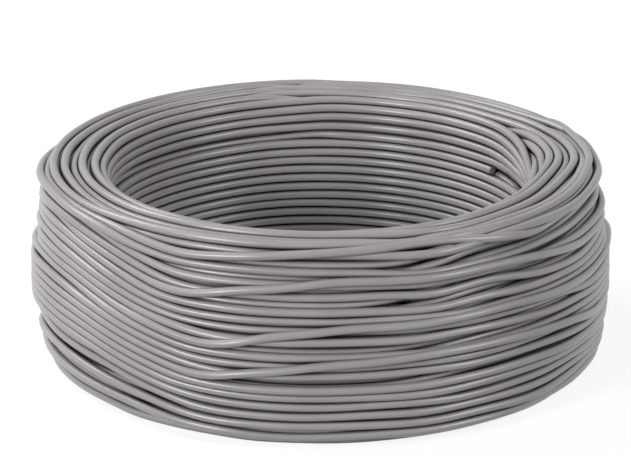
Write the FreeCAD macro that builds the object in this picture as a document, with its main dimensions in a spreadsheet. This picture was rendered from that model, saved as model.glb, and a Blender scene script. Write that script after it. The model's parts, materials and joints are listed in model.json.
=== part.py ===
import FreeCAD, Part
import math
import os
import Sketcher

# A coil of insulated electrical wire, as it comes from the winding machine: one turned ring with a bore,
# rounded over at both ends. The turns of wire show on both ends as ring-shaped valleys, one wire apart.
# Units are millimetres. The coil lies on its end: +Z is its axis, and Z = 0 is the face that it lies on.

NODE = "wire_coil"

DRIVING_SIZES = (
    ("outer_diameter", 192.0, "over the outermost turns"),
    ("bore_diameter", 136.0, "the winding mandrel's diameter"),
    ("coil_height", 66.0, "from end to end"),
    ("outer_shoulder", 14.0, "radius of the rounding outside, at both ends"),
    ("inner_shoulder", 7.5, "radius of the rounding at the bore's mouths"),
    ("wire_diameter", 3.0, "over the insulation"),
    ("valley_radius", 0.7, "of the valley between two turns"),
)

LINE_START = 1
LINE_END = 2
CIRCLE_CENTRE = 3
ORIGIN = (-1, 1)
HORIZONTAL_AXIS = -1


def make_sheet(doc):
    """The spreadsheet that holds the driving sizes, one named cell each."""
    sheet = doc.addObject("Spreadsheet::Sheet", "Sizes")
    for row, (name, value, meaning) in enumerate(DRIVING_SIZES, start=1):
        sheet.set(f"A{row}", name)
        sheet.set(f"B{row}", str(value))
        sheet.setAlias(f"B{row}", name)
        sheet.set(f"C{row}", meaning)
    doc.recompute()
    return sheet


def new_sketch(body, name):
    """A sketch on the body's XZ plane, so that its x is a radius and its y is a height."""
    plane = next(f for f in body.Origin.OriginFeatures if f.Role == "XZ_Plane")
    sketch = body.newObject("Sketcher::SketchObject", name)
    sketch.AttachmentSupport = (plane, "")
    sketch.MapMode = "FlatFace"
    return sketch


def drive(sketch, constraint, name, expression):
    """Adds a dimension to a sketch, and ties it to the sheet's cells."""
    index = sketch.addConstraint(constraint)
    sketch.renameConstraint(index, name)
    sketch.setExpression(f"Constraints.{name}", expression)


def corner_arc(x, y, radius, start_degrees):
    """A quarter of a circle, drawn anticlockwise from start_degrees."""
    circle = Part.Circle(FreeCAD.Vector(x, y, 0), FreeCAD.Vector(0, 0, 1), radius)
    start = math.radians(start_degrees)
    return Part.ArcOfCircle(circle, start, start + math.pi / 2)


def draw_ring_section(sketch, sheet):
    """The ring's section: four straight walls, joined by tangent quarter circles."""
    bore = sheet.bore_diameter / 2
    outside = sheet.outer_diameter / 2
    top = sheet.coil_height
    inner = sheet.inner_shoulder
    outer = sheet.outer_shoulder

    def line(x1, y1, x2, y2):
        start = FreeCAD.Vector(x1, y1, 0)
        return Part.LineSegment(start, FreeCAD.Vector(x2, y2, 0))

    # Anticlockwise from the bottom face, so that each piece ends where the next one starts.
    outline = (
        line(bore + inner, 0, outside - outer, 0),
        corner_arc(outside - outer, outer, outer, 270),
        line(outside, outer, outside, top - outer),
        corner_arc(outside - outer, top - outer, outer, 0),
        line(outside - outer, top, bore + inner, top),
        corner_arc(bore + inner, top - inner, inner, 90),
        line(bore, top - inner, bore, inner),
        corner_arc(bore + inner, inner, inner, 180),
    )
    bottom, bottom_outer, wall, top_outer, cover, top_inner, bore_wall, bottom_inner = (
        sketch.addGeometry(piece, False) for piece in outline
    )
    count = len(outline)
    for index in range(count):
        following = (index + 1) % count
        sketch.addConstraint(Sketcher.Constraint("Tangent", index, LINE_END, following, LINE_START))
    for flat in (bottom, cover):
        sketch.addConstraint(Sketcher.Constraint("Horizontal", flat))
    sketch.addConstraint(Sketcher.Constraint("Vertical", wall))
    sketch.addConstraint(Sketcher.Constraint("Equal", bottom_outer, top_outer))
    sketch.addConstraint(Sketcher.Constraint("Equal", bottom_inner, top_inner))
    sketch.addConstraint(Sketcher.Constraint("PointOnObject", bottom, LINE_START, HORIZONTAL_AXIS))

    drive(sketch, Sketcher.Constraint("DistanceX", *ORIGIN, bore_wall, LINE_START, bore),
          "bore_radius", "Sizes.bore_diameter / 2")
    drive(sketch, Sketcher.Constraint("DistanceX", *ORIGIN, wall, LINE_START, outside),
          "outer_radius", "Sizes.outer_diameter / 2")
    drive(sketch, Sketcher.Constraint("DistanceY", *ORIGIN, cover, LINE_START, top),
          "height", "Sizes.coil_height")
    drive(sketch, Sketcher.Constraint("Radius", bottom_outer, outer),
          "outer_rounding", "Sizes.outer_shoulder")
    drive(sketch, Sketcher.Constraint("Radius", bottom_inner, inner),
          "inner_rounding", "Sizes.inner_shoulder")


def valley_places(sheet):
    """Where the valleys between turns lie, from the bore's mouth to the outside.

    Each place is a radius and a depth below the coil's end, as expressions on the sheet. The end's
    outline is the inner rounding, the flat and the outer rounding, and the turns share it evenly.
    """
    bore = sheet.bore_diameter / 2
    outside = sheet.outer_diameter / 2
    inner_length = sheet.inner_shoulder * math.pi / 2
    flat_length = outside - sheet.outer_shoulder - bore - sheet.inner_shoulder
    outer_length = sheet.outer_shoulder * math.pi / 2
    whole = inner_length + flat_length + outer_length
    turns = round(whole / sheet.wire_diameter)
    pitch = whole / turns
    places = []
    for turn in range(1, turns):
        along = turn * pitch
        if along < inner_length:
            angle = math.degrees((inner_length - along) / sheet.inner_shoulder)
            radius = f"Sizes.bore_diameter / 2 + Sizes.inner_shoulder * (1 - sin({angle} deg))"
            depth = f"Sizes.inner_shoulder * (1 - cos({angle} deg))"
        elif along < inner_length + flat_length:
            radius = f"Sizes.bore_diameter / 2 + Sizes.inner_shoulder + {along - inner_length}"
            depth = "0"
        else:
            angle = math.degrees((along - inner_length - flat_length) / sheet.outer_shoulder)
            radius = f"Sizes.outer_diameter / 2 - Sizes.outer_shoulder * (1 - sin({angle} deg))"
            depth = f"Sizes.outer_shoulder * (1 - cos({angle} deg))"
        places.append((radius, depth))
    return places


def draw_valleys(sketch, sheet, at_top):
    """One small circle for each valley between two turns, centred on the end's outline."""
    for number, (radius, depth) in enumerate(valley_places(sheet), start=1):
        height = f"Sizes.coil_height - {depth}" if at_top else depth
        centre = FreeCAD.Vector(sheet.bore_diameter / 2 + number, sheet.coil_height / 2, 0)
        circle = Part.Circle(centre, FreeCAD.Vector(0, 0, 1), sheet.valley_radius)
        valley = sketch.addGeometry(circle, False)
        drive(sketch, Sketcher.Constraint("Radius", valley, sheet.valley_radius),
              f"valley_{number}_radius", "Sizes.valley_radius")
        drive(sketch, Sketcher.Constraint("DistanceX", *ORIGIN, valley, CIRCLE_CENTRE, centre.x),
              f"valley_{number}_out", radius)
        if height == "0":
            on_the_face = Sketcher.Constraint("PointOnObject", valley, CIRCLE_CENTRE, HORIZONTAL_AXIS)
            sketch.addConstraint(on_the_face)
        else:
            drive(sketch, Sketcher.Constraint("DistanceY", *ORIGIN, valley, CIRCLE_CENTRE, centre.y),
                  f"valley_{number}_up", height)


def turn_about_axis(body, kind, name, sketch):
    """A full-turn Revolution or Groove of a sketch about the coil's axis."""
    feature = body.newObject(kind, name)
    feature.Profile = sketch
    feature.ReferenceAxis = (sketch, ["V_Axis"])
    feature.Angle = 360.0
    sketch.Visibility = False
    return feature


def make_wire_coil(doc, sheet):
    """The whole coil: the turned ring, with the valleys between its turns cut into both ends."""
    body = doc.addObject("PartDesign::Body", "WireCoil")
    body.Label = NODE
    section = new_sketch(body, "RingSection")
    draw_ring_section(section, sheet)
    doc.recompute()
    ring = turn_about_axis(body, "PartDesign::Revolution", "Ring", section)
    doc.recompute()
    volume = ring.Shape.Volume
    for name, at_top in (("BottomTurns", False), ("TopTurns", True)):
        valleys = new_sketch(body, f"{name}Section")
        draw_valleys(valleys, sheet, at_top)
        doc.recompute()
        grooves = turn_about_axis(body, "PartDesign::Groove", name, valleys)
        doc.recompute()
        if grooves.Shape.Volume >= volume:
            raise RuntimeError(f"{name} cut nothing")
        volume = grooves.Shape.Volume
    body.Placement = FreeCAD.Placement()
    return body


def check(doc, bodies):
    """Stops if any object failed, or if a sub-part is empty, open or not one solid."""
    failed = [item.Name for item in doc.Objects if {"Invalid", "Error"} & set(item.State)]
    if failed:
        raise RuntimeError(f"these objects failed: {failed}")
    for body in bodies:
        shape = body.Shape
        if shape.isNull() or not shape.isValid() or len(shape.Solids) != 1:
            raise RuntimeError(f"{body.Label} is not one valid solid")


def main():
    doc = FreeCAD.newDocument("WireCoil")
    sheet = make_sheet(doc)
    bodies = [make_wire_coil(doc, sheet)]
    doc.recompute()
    check(doc, bodies)
    os.makedirs("parts", exist_ok=True)
    for body in bodies:
        body.Shape.exportStep(os.path.join("parts", f"{body.Label}.step"))
        box = body.Shape.optimalBoundingBox(False, False)
        print(f"{body.Label}: {box.XLength:.2f} x {box.YLength:.2f} x {box.ZLength:.2f} mm,"
              f" {body.Shape.Volume / 1000:.1f} cm3, {len(body.Shape.Faces)} faces")


main()
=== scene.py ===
# %% [markdown]
# # A coil of grey electrical wire
#
# The real object is one long piece of single-core building wire: a copper conductor in a round PVC jacket. A machine
# lays it on a drum, turn beside turn and layer over layer, and slides the finished ring off. Nothing else is on it.
#
# So this scene does not model a ring with lines drawn on it. It winds the wire, one turn after another, and each turn
# comes to rest on the turns that are already there. The gaps, the crossings and the slanting bands then come about
# in the way that they do on the real coil.

# %% Load the frame
import json
import math
import time

import bpy
import numpy as np
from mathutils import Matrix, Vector


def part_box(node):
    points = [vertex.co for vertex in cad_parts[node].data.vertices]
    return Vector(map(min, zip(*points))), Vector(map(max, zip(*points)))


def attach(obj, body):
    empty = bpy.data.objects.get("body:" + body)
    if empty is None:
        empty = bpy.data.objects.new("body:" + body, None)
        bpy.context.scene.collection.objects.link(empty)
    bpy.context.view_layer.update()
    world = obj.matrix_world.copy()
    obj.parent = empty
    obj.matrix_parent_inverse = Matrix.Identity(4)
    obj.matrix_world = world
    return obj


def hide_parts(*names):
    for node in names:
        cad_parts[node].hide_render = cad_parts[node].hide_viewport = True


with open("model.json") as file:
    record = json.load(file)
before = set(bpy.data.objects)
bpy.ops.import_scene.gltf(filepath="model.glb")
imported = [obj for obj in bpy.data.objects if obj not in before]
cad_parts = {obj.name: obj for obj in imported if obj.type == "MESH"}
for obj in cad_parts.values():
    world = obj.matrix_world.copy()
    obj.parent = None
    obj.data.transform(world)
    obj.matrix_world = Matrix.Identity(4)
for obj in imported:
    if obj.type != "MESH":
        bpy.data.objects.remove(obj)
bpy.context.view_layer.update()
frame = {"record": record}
low, high = (Vector(corner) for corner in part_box("wire_coil"))
coil_height = high.z - low.z
outside_radius = frame["record"]["size"]["bbox_m"][0] / 2
bore_radius = next(m for m in frame["record"]["mounts"] if m["name"] == "bore")["dims"]["r_mm"] / 1000
print(f"coil: {2000 * outside_radius:.0f} mm across, {1000 * coil_height:.0f} mm high, bore {2000 * bore_radius:.0f} mm")

# %% [markdown]
# ## The camera
#
# A coil is best seen from a little above, so that both its wall and its bore show. A long lens from about 1.2 m keeps
# the ring's ellipse flat and calm. The camera is placed by its height angle above the middle of the coil, and it aims
# a few millimetres above that middle, which leaves a little more room below the coil.

# %% Camera
middle = Vector((0, 0, low.z + coil_height / 2))
height_angle = math.radians(19.4)
camera_distance = 1.201
towards_camera = Vector((0, -math.cos(height_angle), math.sin(height_angle)))
view_up = Vector((0, math.sin(height_angle), math.cos(height_angle)))

camera_data = bpy.data.cameras.new("camera")
camera_data.sensor_width = 36.0
camera_data.lens = 207.3
camera_data.clip_start = 0.05
camera = bpy.data.objects.new("camera", camera_data)
camera.location = middle + camera_distance * towards_camera
aim = middle + Vector((-0.00126, 0, 0)) + 0.0044 * view_up
camera.rotation_euler = (aim - camera.location).to_track_quat("-Z", "Y").to_euler()
bpy.context.scene.collection.objects.link(camera)
bpy.context.scene.camera = camera
print(f"camera {camera_distance:.2f} m away, {math.degrees(height_angle):.1f} degrees up")

# %% [markdown]
# ## The wire and the room that it has
#
# Lengths in the winding are in millimetres, because that is how a winder thinks of them. A wire takes 3 mm of room.
# Its jacket is a little thinner than that, so that the turns lie close and hardly touch. A turn is described at a fixed
# number of stations round the ring, and at each station only two numbers matter: how far out the wire's centre is,
# and how high. The stations start at the back of the ring and run past its left side, its front and its right side,
# so that each turn hands over to the next one at the back.

# %% Wire, stations and limits
wire = 3.0
pressed = 0.95 * wire
jacket_width = 0.93 * wire
outside = 1000 * outside_radius
bore = 1000 * bore_radius
height = 1000 * coil_height
outer_shoulder = 11.5
inner_shoulder = 7.5

stations = 150
part_of_turn = np.arange(stations) / stations
angle = 90.0 + 360.0 * part_of_turn
dice = np.random.default_rng(11)


def half_height(radius):
    """How far above or below the middle a wire's centre may lie, at a distance from the axis."""
    radius = np.minimum(radius, outside - wire / 2 - 3.2)
    rounding = outer_shoulder - wire / 2
    past = np.clip(radius - (outside - outer_shoulder), 0, rounding - 0.01)
    outer_limit = height / 2 - wire / 2 - (rounding - np.sqrt(rounding**2 - past**2))
    short = np.clip(bore + inner_shoulder - radius, 0, inner_shoulder - 0.01)
    inner_limit = height / 2 - wire / 2 - (inner_shoulder - np.sqrt(inner_shoulder**2 - short**2))
    return np.minimum(outer_limit, inner_limit)


def outer_face(level):
    """Where a wire's centre lies when it is flush with the outside of the coil."""
    rounding = outer_shoulder - wire / 2
    past = np.clip(np.abs(level) - (height / 2 - outer_shoulder), 0, rounding)
    return outside - outer_shoulder + np.sqrt(rounding**2 - past**2)


def drum(level):
    """Where the wire's centre rests on the bare drum, which flares a little at both ends."""
    flare = inner_shoulder - wire / 2
    past = np.clip(np.abs(level) - (height / 2 - wire / 2 - flare), 0, flare)
    return bore + wire / 2 + flare - np.sqrt(flare**2 - past**2)


print(f"{stations} stations a turn, {math.tau * outside / stations:.1f} mm apart on the outside")

# %% [markdown]
# ## How one turn comes to rest
#
# Three things decide where a turn lies. It is guided: the winder's arm says at what height it goes on. It falls: it
# slides off a high spot into the groove beside it, if one is near. It is stiff: it can't step sideways between two
# stations. The best route is the one with the smallest total cost of all three. There are many routes, but the cheapest
# one is found exactly by working along the stations and keeping, for each height, only the best way to reach it.

# %% Find a turn's route
sideways = np.arange(-12, 13) * 0.25
turns_felt = 90


def resting_radius(level, radii, levels, touch):
    """How far out a wire at these heights lies, on the drum and on the turns already laid."""
    rest = drum(level)
    if len(radii):
        apart = level[None] - levels[:, :, None]
        touching = np.abs(apart) < touch
        on_top = radii[:, :, None] + np.sqrt(np.maximum(touch**2 - apart**2, 0))
        rest = np.maximum(rest, np.where(touching, on_top, 0).max(0))
    return rest


def ease(value):
    """A soft start and a soft stop between 0 and 1."""
    value = np.clip(value, 0, 1)
    return value * value * (3 - 2 * value)


def smooth(line, times):
    """Averages each value with its neighbours. The ends carry on straight."""
    for _ in range(times):
        padded = np.concatenate([[2 * line[0] - line[1]], line, [2 * line[-1] - line[-2]]])
        line = 0.25 * padded[:-2] + 0.5 * padded[1:-1] + 0.25 * padded[2:]
    return line


def find_route(guide, radii, levels, start, follow, stiff, touch, keep_in):
    """The cheapest heights for one turn, station by station."""
    level = guide[:, None] + sideways[None]
    rest = resting_radius(level, radii, levels, touch)
    beyond = np.maximum(np.abs(level) - half_height(rest), 0)
    cost = rest - rest.min(1, keepdims=True) + follow * sideways[None] ** 2 + keep_in * (4 * beyond**2 + 2 * beyond)
    step_cost = stiff * (sideways[:, None] - sideways[None]) ** 2 / 0.25
    best = cost[0] + 400 * (level[0] - start) ** 2
    came_from = np.zeros(level.shape, int)
    for station in range(1, stations):
        total = best[:, None] + step_cost
        came_from[station] = total.argmin(0)
        best = total.min(0) + cost[station]
    choice = int(best.argmin())
    route = np.zeros(stations)
    for station in range(stations - 1, -1, -1):
        route[station] = level[station, choice]
        choice = came_from[station][choice]
    return route


# %% [markdown]
# ## Pulled tight
#
# The winder keeps the wire tight, so it never dips into a hollow: after it has climbed over another wire it comes down
# in a straight run, which is what leaves the dark lens-shaped gaps on the finished coil. A straight run between
# two stations bows in towards the axis by a known ratio, and repeating that rule over neighbours pulls the turn tight.


# %% Pull a turn tight
def pull_tight(rest, start, times=110):
    """The radius of a tight wire that nowhere goes below where it rests."""
    radius = rest.copy()
    chord = math.cos(math.tau / stations)
    for _ in range(times):
        padded = np.concatenate([[start], radius, radius[-1:]])
        radius = np.maximum(rest, chord * 0.5 * (padded[:-2] + padded[2:]))
    return radius


may_stand_out = 2.4


class Winding:
    """All the turns laid so far, and where the wire's free end is."""

    def __init__(self, level):
        self.radii = np.zeros((0, stations))
        self.levels = np.zeros((0, stations))
        self.level = level
        self.radius = float(drum(level))
        self.direction = -1

    def lead_in(self, line, times):
        """Smooths the start of a turn together with the end of the last one, so that they join without a bend."""
        before = self.levels[-1][-12:] if len(self.levels) else np.full(12, self.level)
        joined = smooth(np.concatenate([before, line]), times)[12:]
        return line + (1 - ease(part_of_turn / 0.08)) * (joined - line)

    def lay(self, guide, follow=0.02, stiff=0.6, touch=pressed, keep_in=1.0, spare=0.3):
        radii, levels = self.radii[-turns_felt:], self.levels[-turns_felt:]
        route = find_route(self.lead_in(guide, 6), radii, levels, self.level, follow, stiff, touch, keep_in)
        route = self.lead_in(smooth(route, 1), 5)
        for _ in range(2):
            rest = resting_radius(route[:, None], radii, levels, touch)[:, 0]
            limit = np.minimum(half_height(rest) + spare, height / 2 - wire / 2)
            route = smooth(np.clip(route, -limit, limit), 1)
        rest = resting_radius(route[:, None], radii, levels, touch)[:, 0]
        radius = pull_tight(np.minimum(rest, outer_face(route) + may_stand_out), self.radius)
        self.radii = np.vstack([self.radii, radius])
        self.levels = np.vstack([self.levels, route])
        self.level, self.radius = float(route[-1]), float(radius[-1])


# %% [markdown]
# ## Layer over layer
#
# The arm travels from one end to the other and back, and each turn lies beside the last. No arm is perfect, so the
# first turn of each layer wanders up and down a little, and the rest of that layer copies it.


# %% Wind the hidden layers
def wander(amount, slowest=1, fastest=4):
    """A smooth random line round the ring."""
    line = np.zeros(stations)
    for count in range(slowest, fastest + 1):
        line += dice.normal() / count**0.7 * np.cos(np.radians(angle) * count + dice.uniform(0, math.tau))
    return amount * line


def pinned(line):
    """The same line, brought to nought where one turn hands over to the next."""
    return line * ease(np.minimum(part_of_turn, 1 - part_of_turn) / 0.2)


def lay_layer(winding, shape, jitter, pitch=pressed + 0.02, follow=0.02):
    """One travel of the arm. Returns the number of turns."""
    count = 0
    while True:
        last_radius = winding.radii[-1].mean() if len(winding.radii) else bore + wire / 2
        if count == 0:
            limit = float(half_height(min(last_radius + 1.3, outside - wire / 2)))
            settled = math.copysign(min(abs(winding.level), limit), winding.level)
            guide = winding.level + (settled - winding.level) * ease(part_of_turn / 0.25)
            guide = guide + winding.direction * pitch * part_of_turn + pinned(shape)
        else:
            guide = winding.levels[-1] + winding.direction * pitch + pinned(wander(jitter))
        limit = float(half_height(last_radius))
        if count > 2 and (winding.direction * guide).mean() > limit + 0.2:
            break
        winding.lay(guide, follow=follow)
        count += 1
    winding.direction = -winding.direction
    return count


def dip(place, width, depth):
    """A smooth hollow in a line round the ring."""
    return -depth * np.exp(-(((angle - place) / width) ** 2))


started = time.time()
winding = Winding(18.0)
counts = []
while not counts or winding.radii[-6:].mean() < outside - wire / 2 - 7.0:
    counts.append(lay_layer(winding, wander(0.6), 0.08))
print(f"hidden layers: {counts} turns, out to {winding.radii[-1].mean():.1f} mm")

# %% [markdown]
# ## The bands on the outside
#
# The last turns show the arm's habit. Left of the front they sink, and there one wire out of every four turns sharply
# upwards again and crosses the three beside it, which run level under it. From the side these crossings stack up
# as a row of V shapes. On the right all the turns sink once more, and pairs of them close up. Each shape below is a
# short list of angles and heights, with a smooth line through them. The two upper bands turn a little earlier, and
# the last turns fill what is left at the bottom.


# %% Wind the outer layers
def line_through(*points):
    """A smooth line round the ring through a few (angle, height) points."""
    angles, heights = zip(*points)
    return smooth(np.interp(angle, angles, heights), 2)


under_shape = line_through(
    (90, 0), (150, 0.5), (190, 1.2), (209, 1.3), (236, 0.6), (262, 0), (292, 0.3), (310, 0.3), (340, -1),
    (362, -1.4), (449, 0),
)
counts.append(lay_layer(winding, under_shape, 0.05, follow=0.06))
print(f"layer under the bands: {counts[-1]} turns, at {winding.radii[-1].mean():.1f} mm")

turning_wire = line_through(
    (90, 2), (150, 3), (180, 6), (200, 9.4), (212, 9.4), (224, 7.5), (233, 4.5), (242, 0.7), (246, -0.9), (251, 0.6),
    (258, 2.8), (269, 5.0), (280, 6.6), (292, 7.6), (310, 7.4), (325, 5), (340, 1.6), (355, 0), (400, 1), (449, 2),
)
second_wire = line_through(
    (90, -0.6), (150, 0.4), (180, 3.4), (200, 6.8), (212, 6.6), (224, 4.6), (233, 1.4), (242, -2.4), (248, -3.5),
    (260, -3.5), (280, -3.4), (310, -3), (325, -3.6), (340, -4.8), (355, -5.2), (400, -3), (449, -0.6),
)
third_wire = line_through(
    (90, -3.2), (150, -2.2), (180, 0.8), (200, 4.2), (212, 4), (224, 2), (233, -1.2), (242, -5), (248, -6.1),
    (260, -6.2), (280, -6), (310, -5.7), (325, -6.4), (340, -7.6), (355, -7.9), (400, -5.6), (449, -3.2),
)
fourth_wire = line_through(
    (90, -5.9), (150, -4.9), (180, -1.9), (200, 1.6), (212, 1.4), (224, -0.6), (233, -3.8), (242, -7.6), (248, -8.7),
    (260, -8.9), (280, -8.8), (310, -8.8), (325, -10.5), (340, -12.6), (355, -13.1), (400, -9), (449, -5.9),
)
all_shapes = (turning_wire, second_wire, third_wire, fourth_wire)
rim_wire = line_through(
    (90, 34), (160, 36), (200, 37.3), (246, 35.6), (270, 35), (310, 34), (340, 32.5), (400, 32.5), (449, 34),
)
turning, second, third, fourth = (np.roll(shape, -2) for shape in all_shapes)
bands = [rim_wire, 26.2 + 0.78 * turning, 26.3 + 1.05 * second, 26.0 + 1.08 * third, 25.8 + 1.1 * fourth]
bands += [14.8 + turning, 14.8 + second, 14.8 + third, 14.8 + fourth, 11.6 + fourth_wire]
bands += [1.0 + turning_wire - dip(355, 28, 3.4)]
bands += [1.0 + shape for shape in all_shapes[1:]] + [-9.4 + shape for shape in all_shapes]
last_shape = bands[-1]
bottom = -35.5
bands += [last_shape + (bottom - last_shape) * part for part in (0.2, 0.4, 0.6, 0.8)]


def on_shoulder(line):
    """Bends a line that is measured along the surface over the coil's rounded shoulders."""
    rounding = outer_shoulder - wire / 2
    straight = height / 2 - outer_shoulder
    past = np.clip((np.abs(line) - straight) / rounding, 0, math.pi / 2)
    return np.sign(line) * (np.minimum(np.abs(line), straight) + rounding * np.sin(past))


if winding.direction > 0:
    bands.reverse()
hand_over = ease((angle - 385) / 65)
for number, shape in enumerate(bands):
    following = bands[number + 1][0] if number + 1 < len(bands) else shape[0]
    guide = on_shoulder(shape + hand_over * (following - shape[-1]))
    guide = guide + (1 - ease(part_of_turn / 0.15)) * (winding.level - guide[0])
    winding.lay(guide, follow=0.8, stiff=0.03, touch=0.85 * wire, keep_in=0.0, spare=10.0)
print(f"bands: {len(bands)} turns; wound in {time.time() - started:.1f} s")

# %% [markdown]
# ## From the winding to one smooth line
#
# The turns join end to end into one line of stations. They become the control points of a smooth spline, and a round
# profile runs along it. A spline this long is cut into a few pieces end to end, so that none is too heavy.

# %% Line of the whole wire
inner_end = int(stations * (393 - 90) / 360)
radius_line = smooth(winding.radii.ravel(), 5)[inner_end:]
level_line = smooth(winding.levels.ravel(), 1)[inner_end:]
turns = len(winding.radii)
around = np.radians(90.0 + 360.0 * np.arange(inner_end, turns * stations) / stations)
line = np.column_stack([radius_line * np.cos(around), radius_line * np.sin(around), level_line]) / 1000
line[:, 2] += middle.z
wire_length = float(np.linalg.norm(np.diff(line, axis=0), axis=1).sum())
print(f"{turns} turns, {wire_length:.1f} m of wire, farthest out {radius_line.max() + wire / 2:.1f} mm")
print(f"lowest {level_line.min() - wire / 2:.1f}, highest {level_line.max() + wire / 2:.1f} mm from the middle")

# %% [markdown]
# ## The jacket's finish, with painted shade in the grooves
#
# PVC straight from the extruder is a satin grey. Its colour hardly changes, but the die leaves very fine marks, and
# handling leaves slightly duller patches, so roughness and a faint bump come from noise. Hardly any light gets into
# the narrow grooves between the turns, so an ambient occlusion node paints shade into the base colour there, to make
# them as dark as they look on a real coil.


# %% Jacket material
def new_material(name):
    material = bpy.data.materials.new(name)
    material.use_nodes = True
    nodes = material.node_tree.nodes
    nodes.clear()
    output = nodes.new("ShaderNodeOutputMaterial")
    shader = nodes.new("ShaderNodeBsdfPrincipled")
    material.node_tree.links.new(shader.outputs["BSDF"], output.inputs["Surface"])
    return material, nodes, material.node_tree.links, shader


jacket, nodes, links, shader = new_material("grey_pvc_jacket")
place = nodes.new("ShaderNodeTexCoord")
patches = nodes.new("ShaderNodeTexNoise")
patches.inputs["Scale"].default_value = 45.0
patches.inputs["Detail"].default_value = 3.0
links.new(place.outputs["Object"], patches.inputs["Vector"])
tint = nodes.new("ShaderNodeValToRGB")
tint.color_ramp.elements[0].position = 0.3
tint.color_ramp.elements[0].color = (0.276, 0.258, 0.261, 1)
tint.color_ramp.elements[1].position = 0.7
tint.color_ramp.elements[1].color = (0.318, 0.301, 0.302, 1)
links.new(patches.outputs["Fac"], tint.inputs["Fac"])
# Painted shade: an ambient occlusion node darkens the base colour towards near black in the narrow grooves between the
# turns, where little light gets in.
groove_shade = nodes.new("ShaderNodeAmbientOcclusion")
groove_shade.samples = 8
groove_shade.inputs["Distance"].default_value = 0.0025
links.new(tint.outputs["Color"], groove_shade.inputs["Color"])
depth = nodes.new("ShaderNodeMapRange")
depth.inputs["From Min"].default_value = 0.15
depth.inputs["From Max"].default_value = 0.75
depth.inputs["To Min"].default_value = 0.15
links.new(groove_shade.outputs["AO"], depth.inputs["Value"])
# The painted shade mixed into the base colour: near black where the occlusion is strong, the jacket's grey elsewhere.
painted_groove_shade = nodes.new("ShaderNodeMix")
painted_groove_shade.data_type = "RGBA"
painted_groove_shade.inputs["A"].default_value = (0.01, 0.01, 0.01, 1)
links.new(depth.outputs["Result"], painted_groove_shade.inputs["Factor"])
links.new(tint.outputs["Color"], painted_groove_shade.inputs["B"])
links.new(painted_groove_shade.outputs["Result"], shader.inputs["Base Color"])
dullness = nodes.new("ShaderNodeMapRange")
dullness.inputs["To Min"].default_value = 0.27
dullness.inputs["To Max"].default_value = 0.37
links.new(patches.outputs["Fac"], dullness.inputs["Value"])
links.new(dullness.outputs["Result"], shader.inputs["Roughness"])
marks = nodes.new("ShaderNodeTexNoise")
marks.inputs["Scale"].default_value = 1400.0
marks.inputs["Detail"].default_value = 2.0
links.new(place.outputs["Object"], marks.inputs["Vector"])
bump = nodes.new("ShaderNodeBump")
bump.inputs["Strength"].default_value = 0.12
bump.inputs["Distance"].default_value = 0.0002
links.new(marks.outputs["Fac"], bump.inputs["Height"])
links.new(bump.outputs["Normal"], shader.inputs["Normal"])
shader.inputs["IOR"].default_value = 1.54
print("jacket: satin grey PVC")

# %% [markdown]
# ## The conductor
#
# The conductor is one solid copper wire of 1.5 square millimetres. Only its two cut faces show, bright from the cutter.

# %% Copper material
copper, nodes, links, shader = new_material("cut_copper")
shader.inputs["Base Color"].default_value = (0.80, 0.42, 0.27, 1)
shader.inputs["Metallic"].default_value = 1.0
shader.inputs["Roughness"].default_value = 0.35
print("conductor: bright copper")

# %% [markdown]
# ## The lengths of wire
#
# Each length is a spline through its stations with a round profile. The next length starts where the last one ends, so
# the joints don't show. A cut face of the copper closes the wire at both ends.

# %% Lengths of wire
lengths = 4
cuts = np.linspace(0, len(line), lengths + 1).astype(int)


def wire_piece(name, points):
    curve = bpy.data.curves.new(name, "CURVE")
    curve.dimensions = "3D"
    curve.resolution_u = 1
    curve.bevel_depth = jacket_width / 2000
    curve.bevel_resolution = 3
    curve.use_fill_caps = True
    spline = curve.splines.new("NURBS")
    spline.points.add(len(points) - 1)
    spline.points.foreach_set("co", np.column_stack([points, np.ones(len(points))]).ravel())
    spline.order_u = 3
    spline.use_endpoint_u = True
    spline.use_smooth = True
    curve.materials.append(jacket)
    piece = bpy.data.objects.new(name, curve)
    bpy.context.scene.collection.objects.link(piece)
    return piece


def copper_core(name, end, beside):
    """The conductor's cut face, which stands a little proud of the jacket."""
    bpy.ops.mesh.primitive_cylinder_add(vertices=24, radius=core_width / 2000, depth=0.002, location=end)
    core = bpy.context.object
    core.name = name
    core.rotation_euler = Vector(end - beside).to_track_quat("Z", "Y").to_euler()
    core.location = Vector(end) + Vector(end - beside).normalized() * (core_stands_out / 1000 - 0.001)
    core.data.materials.append(copper)
    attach(core, "root")
    return core


core_width = 1.38
core_stands_out = 0.25
first_core = copper_core("inner_end_core", line[0], line[1])
last_core = copper_core("outer_end_core", line[-1], line[-2])
for number in range(lengths):
    points = line[max(cuts[number] - 1, 0):cuts[number + 1] + 1]
    piece = wire_piece(f"wire_length_{number + 1}", points)
    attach(piece, "root")
    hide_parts("wire_coil")

# %% [markdown]
# ## A white studio
#
# The coil lies on a wide white floor in a white room, and leaves a soft shadow there. The floor is a little less than
# white near the coil, where the lamps add the rest, and quite white farther off, so that it has no visible edge. Its
# lower side is clear, so that the coil can also be looked at from below.


# %% Floor and its material
def floor_mesh(radius=4.0, corners=96):
    """A round floor just below the coil."""
    around = np.arange(corners) * math.tau / corners
    vertices = [(radius * math.cos(a), radius * math.sin(a), low.z - 0.0002) for a in around]
    mesh = bpy.data.meshes.new("floor")
    mesh.from_pydata(vertices, [], [list(range(corners))])
    return mesh


def seen_directly(nodes, links):
    """1 for what the camera sees straight, or mirrored in a shiny surface, or through glass, and 0 for bounced light."""
    ray = nodes.new("ShaderNodeLightPath")
    total = ray.outputs["Is Camera Ray"]
    for kind in ("Is Glossy Ray", "Is Transmission Ray"):
        add = nodes.new("ShaderNodeMath")
        add.operation = "ADD"
        add.use_clamp = True
        links.new(total, add.inputs[0])
        links.new(ray.outputs[kind], add.inputs[1])
        total = add.outputs[0]
    return total


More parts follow.
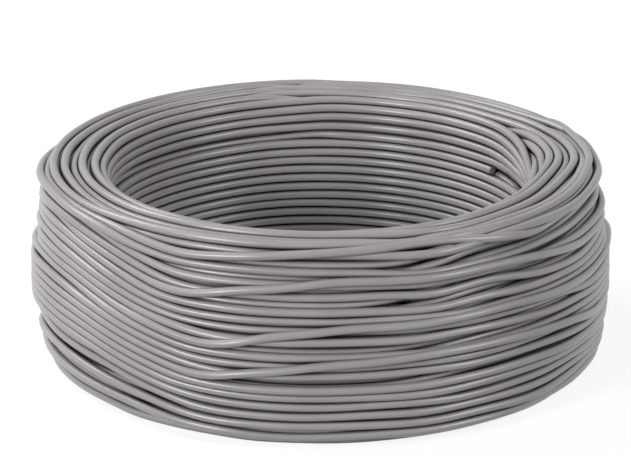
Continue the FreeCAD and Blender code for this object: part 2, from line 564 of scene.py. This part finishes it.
paper = bpy.data.materials.new("white_paper")
paper.use_nodes = True
nodes, links = paper.node_tree.nodes, paper.node_tree.links
nodes.clear()
output = nodes.new("ShaderNodeOutputMaterial")
plain = nodes.new("ShaderNodeBsdfDiffuse")
plain.inputs["Color"].default_value = (0.4, 0.4, 0.4, 1)
seen = nodes.new("ShaderNodeBsdfDiffuse")
seen.inputs["Color"].default_value = (0.22, 0.22, 0.22, 1)
glow = nodes.new("ShaderNodeEmission")
place = nodes.new("ShaderNodeTexCoord")
distance = nodes.new("ShaderNodeVectorMath")
distance.operation = "LENGTH"
links.new(place.outputs["Object"], distance.inputs[0])
whiter = nodes.new("ShaderNodeMapRange")
whiter.inputs["From Min"].default_value = 0.3
whiter.inputs["From Max"].default_value = 1.2
whiter.inputs["To Min"].default_value = 0.86
whiter.inputs["To Max"].default_value = 1.0
links.new(distance.outputs["Value"], whiter.inputs["Value"])
links.new(whiter.outputs["Result"], glow.inputs["Strength"])
both = nodes.new("ShaderNodeAddShader")
links.new(seen.outputs["BSDF"], both.inputs[0])
links.new(glow.outputs["Emission"], both.inputs[1])
choose = nodes.new("ShaderNodeMixShader")
links.new(seen_directly(nodes, links), choose.inputs["Fac"])
links.new(plain.outputs["BSDF"], choose.inputs[1])
links.new(both.outputs["Shader"], choose.inputs[2])
side = nodes.new("ShaderNodeNewGeometry")
clear = nodes.new("ShaderNodeBsdfTransparent")
one_sided = nodes.new("ShaderNodeMixShader")
links.new(side.outputs["Backfacing"], one_sided.inputs["Fac"])
links.new(choose.outputs["Shader"], one_sided.inputs[1])
links.new(clear.outputs["BSDF"], one_sided.inputs[2])
links.new(one_sided.outputs["Shader"], output.inputs["Surface"])

floor = bpy.data.objects.new("floor", floor_mesh())
floor.data.materials.append(paper)
bpy.context.scene.collection.objects.link(floor)
print("white floor, 8 m across")


# %% Lights and the room
def soft_light(name, place, size, watts, aim_at):
    light = bpy.data.lights.new(name, "AREA")
    light.shape = "RECTANGLE"
    light.size, light.size_y = size
    light.energy = watts
    lamp = bpy.data.objects.new(name, light)
    lamp.location = place
    lamp.rotation_euler = (Vector(aim_at) - Vector(place)).to_track_quat("-Z", "Y").to_euler()
    bpy.context.scene.collection.objects.link(lamp)
    return lamp


soft_light("key_left_front", (-1.22, -1.31, 0.62), (0.35, 0.6), 25, middle)
soft_light("fill_right", (1.3, -0.7, 0.8), (0.5, 0.7), 12, middle)
soft_light("rim_behind", (-1.0, 0.45, 1.1), (0.9, 0.6), 15, middle)

world = bpy.data.worlds.new("studio")
bpy.context.scene.world = world
world.use_nodes = True
nodes, links = world.node_tree.nodes, world.node_tree.links
nodes.clear()
output = nodes.new("ShaderNodeOutputWorld")
room = nodes.new("ShaderNodeBackground")
room.inputs["Color"].default_value = (1, 1, 1, 1)
room.inputs["Strength"].default_value = 0.13
white = nodes.new("ShaderNodeBackground")
white.inputs["Color"].default_value = (1, 1, 1, 1)
white.inputs["Strength"].default_value = 1.0
choose = nodes.new("ShaderNodeMixShader")
links.new(seen_directly(nodes, links), choose.inputs["Fac"])
links.new(room.outputs["Background"], choose.inputs[1])
links.new(white.outputs["Background"], choose.inputs[2])
links.new(choose.outputs["Shader"], output.inputs["Surface"])
bpy.context.scene.view_settings.view_transform = "Standard"
print("three soft lights in a white room")
